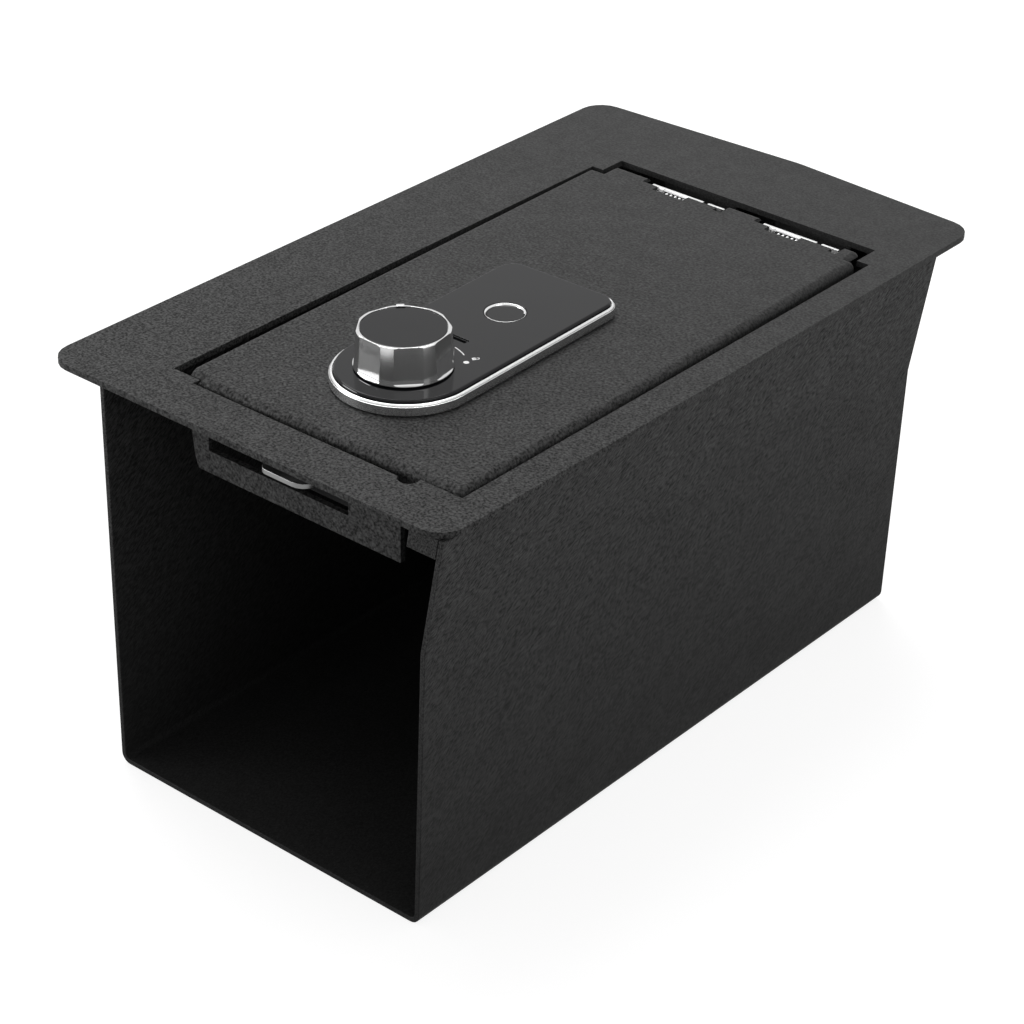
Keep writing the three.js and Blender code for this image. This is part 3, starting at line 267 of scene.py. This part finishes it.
def coat(name, shade, grain, relief, gloss, streak=1.0, lean=(0, 0, 0), roll=None, painted_shade=None, calm=None):
    """Textured powder coat with paler, glossier crests. Grain is the width of a speck and relief its height, in
    millimetres. Streak and lean draw the specks out along a turned axis. Roll makes them higher between two places
    along Y, fade paints shade by darkening the coat and its gloss from the upper height down to the lower one, and
    calm evens its tones along one axis."""
    material, add, link, shader = finish(name, (shade, shade, shade), 0.6)
    place = add("TexCoord")
    turn = add("Mapping", vector_type="TEXTURE")
    turn.inputs["Rotation"].default_value = [math.radians(a) for a in lean]
    turn.inputs["Scale"].default_value = (1, 1, streak)
    link(place.outputs["Object"], turn.inputs["Vector"])
    fine = add("TexNoise", Scale=1000 / grain, Detail=2.0, Roughness=0.55)
    pits = add("TexVoronoi", feature="F1", Scale=1000 / (grain * 1.9))
    soft = add("TexNoise", Scale=1000 / (grain * 9), Detail=2.0, Roughness=0.5)
    for node in (fine, pits, soft):
        link(turn.outputs["Vector"], node.inputs["Vector"])
    speck = spread(add, link, fine.outputs["Fac"], 0.0, 1.0, (0.36, 0.64))
    crest = spread(add, link, pits.outputs["Distance"], 1.0, 0.0, (0.1, 0.6))
    height = add("Mix", data_type="FLOAT", Factor=0.3)
    link(speck, height.inputs["A"])
    link(crest, height.inputs["B"])
    bump = add("Bump", Strength=1.0, Distance=relief * MM)
    link(height.outputs[0], bump.inputs["Height"])
    axis = add("SeparateXYZ")
    link(place.outputs["Object"], axis.inputs["Vector"])
    pattern = height.outputs[0]
    if calm:
        along, start, end, least = calm
        amount = spread(add, link, axis.outputs[along], 1.0, least, (start * MM, end * MM))
        even = add("Mix", data_type="FLOAT", A=0.5)
        link(amount, even.inputs["Factor"])
        link(pattern, even.inputs["B"])
        pattern = even.outputs[0]
    if roll:
        near, far, strong = roll
        height_change = spread(add, link, axis.outputs["Y"], strong * MM, relief * MM, (near * MM, far * MM))
        link(height_change, bump.inputs["Distance"])
    link(bump.outputs["Normal"], shader.inputs["Normal"])
    tone = add("MixRGB", blend_type="MIX")
    tone.inputs["Color1"].default_value = (shade * 0.35, shade * 0.35, shade * 0.35, 1)
    tone.inputs["Color2"].default_value = (shade * 1.65, shade * 1.65, shade * 1.65, 1)
    link(pattern, tone.inputs["Fac"])
    colour = tone.outputs["Color"]
    shine = spread(add, link, pattern, gloss * 0.3, gloss * 1.7)
    # Painted shade: below the upper height the coat's colour and gloss dim, down to the least share at the lower
    # height.
    if painted_shade:
        low, high, least = painted_shade
        level = spread(add, link, axis.outputs["Z"], least, 1.0, (low * MM, high * MM))
        dim = add("VectorMath", operation="SCALE")
        link(colour, dim.inputs[0])
        link(level, dim.inputs["Scale"])
        colour = dim.outputs["Vector"]
        less = add("Math", operation="MULTIPLY")
        link(shine, less.inputs[0])
        link(level, less.inputs[1])
        shine = less.outputs[0]
    link(colour, shader.inputs["Base Color"])
    link(shine, shader.inputs["Specular IOR Level"])
    link(spread(add, link, soft.outputs["Fac"], 0.56, 0.64, (0.3, 0.7)), shader.inputs["Roughness"])
    return material


def metal(name, shade, roughness, grain=0.6, stretch=(1, 1, 1), relief=0.004, change=0.12):
    """Plated or brushed metal: a fine grain that may be drawn out along one axis."""
    material, add, link, shader = finish(name, shade, roughness, 1.0)
    place = add("TexCoord")
    turn = add("Mapping")
    turn.inputs["Scale"].default_value = stretch
    link(place.outputs["Object"], turn.inputs["Vector"])
    fine = add("TexNoise", Scale=1000 / grain, Detail=3.0, Roughness=0.55)
    wide = add("TexNoise", Scale=1000 / (grain * 14), Detail=2.0)
    for node in (fine, wide):
        link(turn.outputs["Vector"], node.inputs["Vector"])
    low, high = roughness * (1 - change), roughness * (1 + change)
    link(spread(add, link, wide.outputs["Fac"], low, high, (0.3, 0.7)), shader.inputs["Roughness"])
    bump = add("Bump", Strength=0.6, Distance=relief * MM)
    link(fine.outputs["Fac"], bump.inputs["Height"])
    link(bump.outputs["Normal"], shader.inputs["Normal"])
    return material


def moulded(name, shade, roughness, grain=0.5, relief=0.01, specular=0.5):
    """Moulded plastic with a fine spark texture."""
    material, add, link, shader = finish(name, shade, roughness, **{"Specular_IOR_Level": specular})
    place = add("TexCoord")
    fine = add("TexNoise", Scale=1000 / grain, Detail=2.0)
    wide = add("TexNoise", Scale=1000 / (grain * 30), Detail=2.0)
    for node in (fine, wide):
        link(place.outputs["Object"], node.inputs["Vector"])
    tone = add("MixRGB")
    tone.inputs["Color1"].default_value = (*[c * 0.85 for c in shade], 1)
    tone.inputs["Color2"].default_value = (*[c * 1.15 for c in shade], 1)
    link(wide.outputs["Fac"], tone.inputs["Fac"])
    link(tone.outputs["Color"], shader.inputs["Base Color"])
    sheen = spread(add, link, fine.outputs["Fac"], roughness * 0.85, roughness * 1.15, (0.3, 0.7))
    link(sheen, shader.inputs["Roughness"])
    bump = add("Bump", Strength=0.5, Distance=relief * MM)
    link(fine.outputs["Fac"], bump.inputs["Height"])
    link(bump.outputs["Normal"], shader.inputs["Normal"])
    return material


FRAME_COAT = coat("frame coat", 0.031, 0.95, 0.03, gloss=0.16, calm=("Y", -120, 150, 0.35))
# The walls take the frame's coat with its specks drawn out. Its lower shade and gloss are painted shade for the
# upright sides, and the coat grows darker towards the bottom as further painted shade.
SHADED_WALL_COAT = coat(
    "shaded wall coat", 0.0275, 0.65, 0.04, gloss=0.137, streak=3.0, lean=(-54, 0, 0),
    painted_shade=(20, 150, 0.6), calm=("Z", 170, 20, 0.4),
)
LID_COAT = coat(
    "lid coat", 0.031, 1.1, 0.06, gloss=0.16, roll=(-152, -130, 0.16), calm=("Y", -120, 100, 0.5)
)
ZINC = metal("zinc steel", (0.78, 0.78, 0.78), 0.34)
BOLT_STEEL = metal("bolt steel", (0.19, 0.19, 0.19), 0.42, relief=0.02, change=0.3)
CHROME = metal("bright chrome", (0.8, 0.8, 0.8), 0.08, relief=0.0004)
KNOB_METAL = metal("knob chrome", (0.68, 0.68, 0.68), 0.14, grain=0.4, stretch=(1, 1, 0.1), relief=0.0006)
SATIN = metal("satin bezel", (0.72, 0.72, 0.72), 0.24, grain=0.3, relief=0.0001, change=0.04)
GLASS = moulded("black glass", (0.006, 0.006, 0.007), 0.03, relief=0.0002, specular=0.23)
BLACK_PLASTIC = moulded("black plastic", (0.012, 0.012, 0.013), 0.12, relief=0.001, specular=0.165)
HOUSING = moulded("moulded housing", (0.012, 0.012, 0.013), 0.5, relief=0.03, specular=0.2)
BOARD = moulded("circuit board", (0.012, 0.09, 0.035), 0.4)
MOTOR = metal("motor can", (0.6, 0.61, 0.62), 0.3, stretch=(6, 1, 1))
WRAP = moulded("cell wrap", (0.04, 0.07, 0.11), 0.3)
CONTACT = metal("contact plate", (0.7, 0.56, 0.3), 0.25)
PRINT = moulded("printed marks", (0.85, 0.85, 0.85), 0.45)
LEAD = moulded("lead sleeve", (0.015, 0.015, 0.016), 0.4)

# Camera: its place, which way it looks back from the part, and how it is turned about that line

LENS, FILM_WIDTH = 104.15, 36
CAMERA_PLACE = spot(696.67, -851.96, 728.51)
LOOK_BACK = Vector((0.54925, -0.66110, 0.51114))
AZIMUTH, CAMERA_ROLL = math.radians(39.72), math.radians(1.14)

camera = bpy.data.objects.new("camera", bpy.data.cameras.new("camera"))
bpy.context.scene.collection.objects.link(camera)
camera.data.lens = LENS
camera.data.sensor_width = FILM_WIDTH
camera.data.clip_end = 20
back = LOOK_BACK.normalized()
right = Vector((math.cos(AZIMUTH), math.sin(AZIMUTH), 0))
up = back.cross(right)
cosine, sine = math.cos(CAMERA_ROLL), math.sin(CAMERA_ROLL)
right, up = right * cosine + up * sine, up * cosine - right * sine
camera.matrix_world = Matrix.Translation(CAMERA_PLACE) @ Matrix((right, up, back)).transposed().to_4x4()
bpy.context.scene.camera = camera


# Sheet metal, hinges and inner parts: a fresh copy of each solid, with its doubles merged and its edges rounded

def dressed(node, material, slot, width, segments=2):
    piece = bpy.data.objects.new(node + "_part", nodes[node].data.copy())
    bpy.context.scene.collection.objects.link(piece)
    only(piece)
    bpy.ops.object.mode_set(mode="EDIT")
    bpy.ops.mesh.select_all(action="SELECT")
    bpy.ops.mesh.remove_doubles(threshold=0.002 * MM)
    bpy.ops.mesh.dissolve_limited(angle_limit=math.radians(0.6))
    done()
    soften(piece, width, segments)
    return fit(piece, node + "_part", material, body_of[node], slot, node)


# Body shell, back wall and gusset wear the wall coat with its painted shade.
dressed("body_shell", SHADED_WALL_COAT, "frame_coat", 0.35, 3)
dressed("back_wall", SHADED_WALL_COAT, "frame_coat", 0.3)
dressed("top_frame", FRAME_COAT, "frame_coat", 0.35, 3)
dressed("front_gusset", SHADED_WALL_COAT, "frame_coat", 0.3)
dressed("lid_pan", LID_COAT, "lid_coat", 0.25)
for side in ("left", "right"):
    dressed(f"hinge_bracket_{side}", FRAME_COAT, "frame_coat", 0.2)
    dressed(f"hinge_frame_leaf_{side}", ZINC, "zinc_steel", 0.12)
    dressed(f"hinge_lid_leaf_{side}", ZINC, "zinc_steel", 0.12)
    dressed(f"hinge_pin_{side}", ZINC, "zinc_steel", 0.15)
    for i in (1, 2):
        dressed(f"hinge_screw_{side}_{i}", ZINC, "zinc_steel", 0.08)
for node in ("lock_case", "bolt_guide", "battery_box", "battery_cover"):
    dressed(node, HOUSING, "moulding", 0.25)
for i in range(1, 5):
    dressed(f"case_nut_{i}", ZINC, "zinc_steel", 0.12)
    dressed(f"battery_cell_{i}", WRAP, "cell_wrap", 0.3)
for i in (1, 2):
    dressed(f"box_nut_{i}", ZINC, "zinc_steel", 0.12)
dressed("bolt", BOLT_STEEL, "zinc_steel", 0.35, 3)
dressed("knob_spindle", ZINC, "zinc_steel", 0.15)
dressed("drive_cam", ZINC, "zinc_steel", 0.15)
dressed("circuit_board", BOARD, "board", 0.1)
dressed("gear_motor", MOTOR, "motor_can", 0.15)
for end in ("front", "rear"):
    dressed(f"battery_contacts_{end}", CONTACT, "contact_metal", 0.05)
dressed("battery_lead", LEAD, "black_plastic", 0.15)


# Hinge springs: one round wire wound round the pin, with a straight leg at each end

def hinge_spring(side):
    coil = SPRING_TURNS * SPRING_PITCH
    start = HINGE_STARTS[side] + SPRING_BAY_START + (SPRING_BAY - coil) / 2
    bpy.ops.object.select_all(action="DESELECT")
    bpy.ops.mesh.primitive_circle_add(
        vertices=14, radius=SPRING_WIRE / 2 * MM, location=spot(0, SPRING_RADIUS, 0), fill_type="NOTHING"
    )
    piece = bpy.context.object
    keep_place(piece)
    wind = piece.modifiers.new("wind", "SCREW")
    wind.axis = "X"
    wind.angle = math.radians(360 * SPRING_TURNS)
    wind.screw_offset = coil * MM
    wind.steps = wind.render_steps = int(SPRING_TURNS * 28)
    wind.use_merge_vertices = False
    bpy.ops.object.modifier_apply(modifier=wind.name)
    for x in (0, coil):
        pick(piece, "EDGE", lambda e: e.is_boundary and abs(middle(e).x - x) < SPRING_WIRE / 2)
        bpy.ops.mesh.extrude_region_move(TRANSFORM_OT_translate={"value": (0, 0, -SPRING_LEG * MM)})
        bpy.ops.mesh.edge_face_add()
        done()
    pick(piece, "FACE", lambda f: True)
    bpy.ops.mesh.normals_make_consistent(inside=False)
    done()
    piece.location = spot(start, PIN_Y, PIN_Z)
    only(piece)
    bpy.ops.object.shade_smooth_by_angle(angle=math.radians(40))
    fit(piece, f"hinge_spring_{side}_coil", ZINC, "body", "zinc_steel", f"hinge_spring_{side}")


for side in HINGE_STARTS:
    hinge_spring(side)


# Lock panel

def panel_slab(inset, foot, top):
    """A slab in the panel's plan: a half-round front and two rounded rear corners."""
    radius = PANEL_RADIUS - inset
    rear = KNOB_Y + PANEL_TAIL - inset
    slab = block(PANEL_X - radius, PANEL_X + radius, KNOB_Y - radius, rear, foot, top)
    corner = max(PANEL_CORNER - inset, 1)
    round_edges(slab, lambda e: upright(e) and middle(e).y < 0 and middle(e).y < KNOB_Y, radius * 0.9999, 40)
    pick(slab, "VERT", lambda v: True)
    bpy.ops.mesh.remove_doubles(threshold=0.03 * MM)
    done()
    round_edges(slab, lambda e: upright(e) and middle(e).y > rear - 0.01, corner, 8)
    return turned(slab, PANEL_TURN)


def port_block(room, foot, top):
    half_x, half_y = PORT_WIDTH / 2 + room, PORT_HEIGHT / 2 + room
    piece = block(PORT_X - half_x, PORT_X + half_x, PORT_Y - half_y, PORT_Y + half_y, foot, top)
    round_edges(piece, upright, 0.7 + room, 5)
    return piece


def panel_holes(sensor_hole, port_room):
    """Cutters for the spindle, the sensor and the power port."""
    return (
        disc(KNOB_X, KNOB_Y, SPINDLE_HOLE, CUT_FOOT, CUT_TOP),
        disc(SENSOR_X, SENSOR_Y, sensor_hole, CUT_FOOT, CUT_TOP),
        port_block(port_room, CUT_FOOT, CUT_TOP),
    )


# The bezel: a bright rim over a skirt that stands a little further out, on a narrow foot
bezel = panel_slab(0.2, BEZEL_TOP - 1.6, BEZEL_TOP)
round_edges(bezel, rim_edges(BEZEL_TOP), 0.85, 3)
sink_face(bezel, lambda f: at_level(f, BEZEL_TOP), 0.3, 1.2)
skirt = panel_slab(0, BEZEL_FOOT + 0.35, BEZEL_TOP - 0.95)
foot = panel_slab(0.9, BEZEL_FOOT, BEZEL_FOOT + 0.6)
carve(bezel, skirt, foot, operation="UNION")
carve(bezel, *panel_holes(BEZEL_SENSOR_HOLE, 0.3))
soften(bezel, 0.1)
fit(bezel, "lock_bezel_ring", SATIN, "lid", "bezel_metal", "lock_bezel")

glass = panel_slab(1.75, GLASS_FOOT, GLASS_TOP)
round_edges(glass, rim_edges(GLASS_TOP), 0.8, 5)
carve(glass, *panel_holes(GLASS_SENSOR_HOLE, 0.25))
soften(glass, 0.15, 3)
fit(glass, "lock_glass", GLASS, "lid", "black_glass", "glass_panel")

ring = disc(SENSOR_X, SENSOR_Y, SENSOR_RADIUS, GLASS_TOP - 6, GLASS_TOP - 0.1)
pick(ring, "FACE", lambda f: at_level(f, GLASS_TOP - 0.1))
bpy.ops.mesh.inset(thickness=0.15 * MM)
bpy.ops.mesh.inset(thickness=0.55 * MM, depth=-0.65 * MM)
bpy.ops.mesh.extrude_region_move(TRANSFORM_OT_translate={"value": (0, 0, -4.6 * MM)})
done()
soften(ring, 0.06)
fit(ring, "sensor_bright_ring", CHROME, "lid", "bright_metal", "sensor_ring")

pad = disc(SENSOR_X, SENSOR_Y, SENSOR_RADIUS - 0.95, GLASS_TOP - 5.9, GLASS_TOP - 0.8)
round_edges(pad, rim_edges(GLASS_TOP - 0.8), 0.2, 4)
soften(pad, 0.08)
fit(pad, "sensor_glass_pad", GLASS, "lid", "black_glass", "sensor_pad")

port = port_block(0, GLASS_TOP - 5, GLASS_TOP - 0.4)
sink_face(port, lambda f: at_level(f, GLASS_TOP - 0.4), 0.5, 3.6)
tongue = block(PORT_X - 3.1, PORT_X + 3.1, PORT_Y + 0.1, PORT_Y + 0.6, GLASS_TOP - 4.3, GLASS_TOP - 1.2)
port = joined(port, tongue)
soften(port, 0.08)
fit(port, "power_port_shell", BLACK_PLASTIC, "lid", "black_plastic", "power_port")


# Marks printed on the glass: an arc, a dot and a padlock pictogram

def flat_ring(x, y, outer, inner, z0, z1, sides=48):
    piece = disc(x, y, outer, z0, z1, sides)
    carve(piece, disc(x, y, inner, z0 - 1, z1 + 1, sides))
    return piece


INK_FOOT, INK_TOP = GLASS_TOP - 0.01, GLASS_TOP + 0.03
arc = flat_ring(KNOB_X, KNOB_Y, 25.25, 24.8, INK_FOOT, INK_TOP, 240)
for degrees, clear_inner in ((78.5, False), (61.5, True)):
    angle = math.radians(degrees)
    pick(arc, "FACE", lambda f: True)
    bpy.ops.mesh.bisect(
        plane_co=spot(KNOB_X, KNOB_Y, 0),
        plane_no=(-math.sin(angle), math.cos(angle), 0),
        clear_outer=not clear_inner,
        clear_inner=clear_inner,
        use_fill=True,
    )
    done()
pick(arc, "FACE", lambda f: middle(f).y < KNOB_Y)
bpy.ops.mesh.delete(type="FACE")
done()
dot = disc(KNOB_X + 16.5, KNOB_Y + 17.95, 1.15, INK_FOOT, INK_TOP, 40)
lock_body = block(-0.95, 0.95, -0.8, 0.8, INK_FOOT, INK_TOP)
round_edges(lock_body, upright, 0.25, 4)
carve(lock_body, disc(0, 0, 0.3, INK_FOOT - 1, INK_TOP + 1, 20))
shackle = flat_ring(0, 1.35, 0.85, 0.5, INK_FOOT, INK_TOP, 32)
leg = block(-0.85, -0.5, 0.7, 1.35, INK_FOOT, INK_TOP)
padlock = joined(lock_body, shackle, leg)
padlock_place = spot(KNOB_X + 16.85, KNOB_Y + 22.2, 0)
padlock.matrix_world = Matrix.Translation(padlock_place) @ Matrix.Rotation(math.radians(-37), 4, "Z")
marks = joined(arc, dot, padlock)
fit(marks, "panel_marks", PRINT, "lid", "bright_metal")


# Knob

shell = disc(KNOB_X, KNOB_Y, KNOB_BASE_RADIUS, KNOB_FOOT, KNOB_TOP, 168)
pick(shell, "VERT", lambda v: v.co.z / MM > KNOB_TOP - 0.01)
bpy.ops.transform.resize(
    value=(KNOB_TOP_RADIUS / KNOB_BASE_RADIUS,) * 2 + (1,), center_override=spot(KNOB_X, KNOB_Y, KNOB_TOP)
)
done()
round_edges(shell, rim_edges(KNOB_TOP), 0.45, 3)
round_edges(shell, rim_edges(KNOB_FOOT), 0.4, 3)
sink_face(shell, lambda f: at_level(f, KNOB_TOP), 0.9, 1.6)
carve(shell, disc(KNOB_X, KNOB_Y, 17.2, KNOB_FOOT - 1, KNOB_TOP - 3.5, 96))
flat_cutters = []
for i in range(FLATS):
    cutter = block(0, 8, -9, 9, 0, KNOB_TOP - KNOB_FOOT + 3)
    round_edges(cutter, lambda e: at_level(e, 0) and abs(middle(e).x) < 0.01, 0.7, 9)
    lean = Matrix.Rotation(math.radians(FLAT_LEAN), 4, "Y")
    cutter.matrix_world = (
        Matrix.Translation(spot(KNOB_X, KNOB_Y, 0))
        @ Matrix.Rotation(math.radians(FIRST_FLAT + i * 360 / FLATS), 4, "Z")
        @ Matrix.Translation(spot(FLAT_DISTANCE, 0, KNOB_FOOT + 0.55))
        @ lean
    )
    keep_place(cutter)
    flat_cutters.append(cutter)
carve(shell, *flat_cutters)
soften(shell, 0.12, 2, 14)
fit(shell, "knob_faceted_shell", KNOB_METAL, "knob", "bright_metal", "knob_shell")

cap = disc(KNOB_X, KNOB_Y, CAP_RADIUS, KNOB_TOP - 1.45, KNOB_TOP - 0.15, 128)
sink_face(cap, lambda f: at_level(f, KNOB_TOP - 0.15), 0.35, -0.02)
notch = block(-1.85, 1.85, 16.0, 20, KNOB_TOP - 3, KNOB_TOP + 2)
notch.location = spot(KNOB_X, KNOB_Y, 0)
carve(cap, turned(notch, POINTER_TURN))
soften(cap, 0.12, 3)
fit(cap, "knob_black_cap", BLACK_PLASTIC, "knob", "black_plastic", "knob_cap")

tab = block(-1.6, 1.6, 17.1, 18.95, KNOB_TOP - 0.45, KNOB_TOP + 0.38)
round_edges(tab, lambda e: at_level(e, KNOB_TOP + 0.38), 0.25, 3)
tab.location = spot(KNOB_X, KNOB_Y, 0)
turned(tab, POINTER_TURN)
soften(tab, 0.06)
fit(tab, "knob_pointer_tab", CHROME, "knob", "bright_metal", "knob_pointer")


# Studio: a pale floor, soft light from above on the left and from the right, a low lamp that spares the coats, and
# a dim surround that the lens and reflections see as white

FLOOR_SHADE = (0.35, 0.35, 0.35)
FLOOR_GLOW = 0.82
SURROUND = 0.45
AIM = Vector((0, 0, 0.1))
LAMPS = (
    # name, place in metres, width, power, and whether it lights the coats as well as the bright metal
    ("key light", (-0.9, 0.5, 1.9), 1.6, 26, True),
    ("side light", (1.6, -0.4, 1.0), 1.4, 6, True),
    ("low light", (-0.65, -0.63, 0.3), 0.5, 9, False),
)


def brighter(tree, first, second):
    """The larger of two values, as a new node's output."""
    node = tree.nodes.new("ShaderNodeMath")
    node.operation = "MAXIMUM"
    tree.links.new(first, node.inputs[0])
    tree.links.new(second, node.inputs[1])
    return node.outputs[0]


def studio():
    bpy.ops.object.select_all(action="DESELECT")
    bpy.ops.mesh.primitive_plane_add(size=12, location=(0, 0, 0))
    floor = bpy.context.object
    floor.name = "floor"
    material = bpy.data.materials.new("studio floor")
    material.use_nodes = True
    tree = material.node_tree
    out = tree.nodes["Material Output"]
    tree.nodes.remove(tree.nodes["Principled BSDF"])
    path = tree.nodes.new("ShaderNodeLightPath")
    pale = tree.nodes.new("ShaderNodeBsdfDiffuse")
    pale.inputs["Color"].default_value = (*FLOOR_SHADE, 1)
    glow = tree.nodes.new("ShaderNodeEmission")
    seen = brighter(tree, path.outputs["Is Camera Ray"], path.outputs["Is Glossy Ray"])
    strength = tree.nodes.new("ShaderNodeMath")
    strength.operation = "MULTIPLY"
    strength.inputs[1].default_value = FLOOR_GLOW
    tree.links.new(seen, strength.inputs[0])
    tree.links.new(strength.outputs[0], glow.inputs["Strength"])
    total = tree.nodes.new("ShaderNodeAddShader")
    tree.links.new(pale.outputs[0], total.inputs[0])
    tree.links.new(glow.outputs[0], total.inputs[1])
    tree.links.new(total.outputs[0], out.inputs["Surface"])
    floor.data.materials.append(material)

    world = bpy.data.worlds.new("studio")
    bpy.context.scene.world = world
    world.use_nodes = True
    tree = world.node_tree
    path = tree.nodes.new("ShaderNodeLightPath")
    seen = brighter(tree, path.outputs["Is Camera Ray"], path.outputs["Is Glossy Ray"])
    seen = brighter(tree, seen, path.outputs["Is Transmission Ray"])
    level = tree.nodes.new("ShaderNodeMapRange")
    level.inputs["To Min"].default_value = SURROUND
    level.inputs["To Max"].default_value = 1.0
    tree.links.new(seen, level.inputs["Value"])
    tree.links.new(level.outputs["Result"], tree.nodes["Background"].inputs["Strength"])
    tree.nodes["Background"].inputs["Color"].default_value = (1, 1, 1, 1)

    for name, place, size, power, on_coats in LAMPS:
        lamp = bpy.data.objects.new(name, bpy.data.lights.new(name, "AREA"))
        bpy.context.scene.collection.objects.link(lamp)
        lamp.data.shape = "DISK"
        lamp.data.size = size
        lamp.data.energy = power
        lamp.visible_diffuse = on_coats
        lamp.location = place
        lamp.rotation_euler = (AIM - Vector(place)).to_track_quat("-Z", "Y").to_euler()
    bpy.context.scene.view_settings.view_transform = "Standard"


studio()
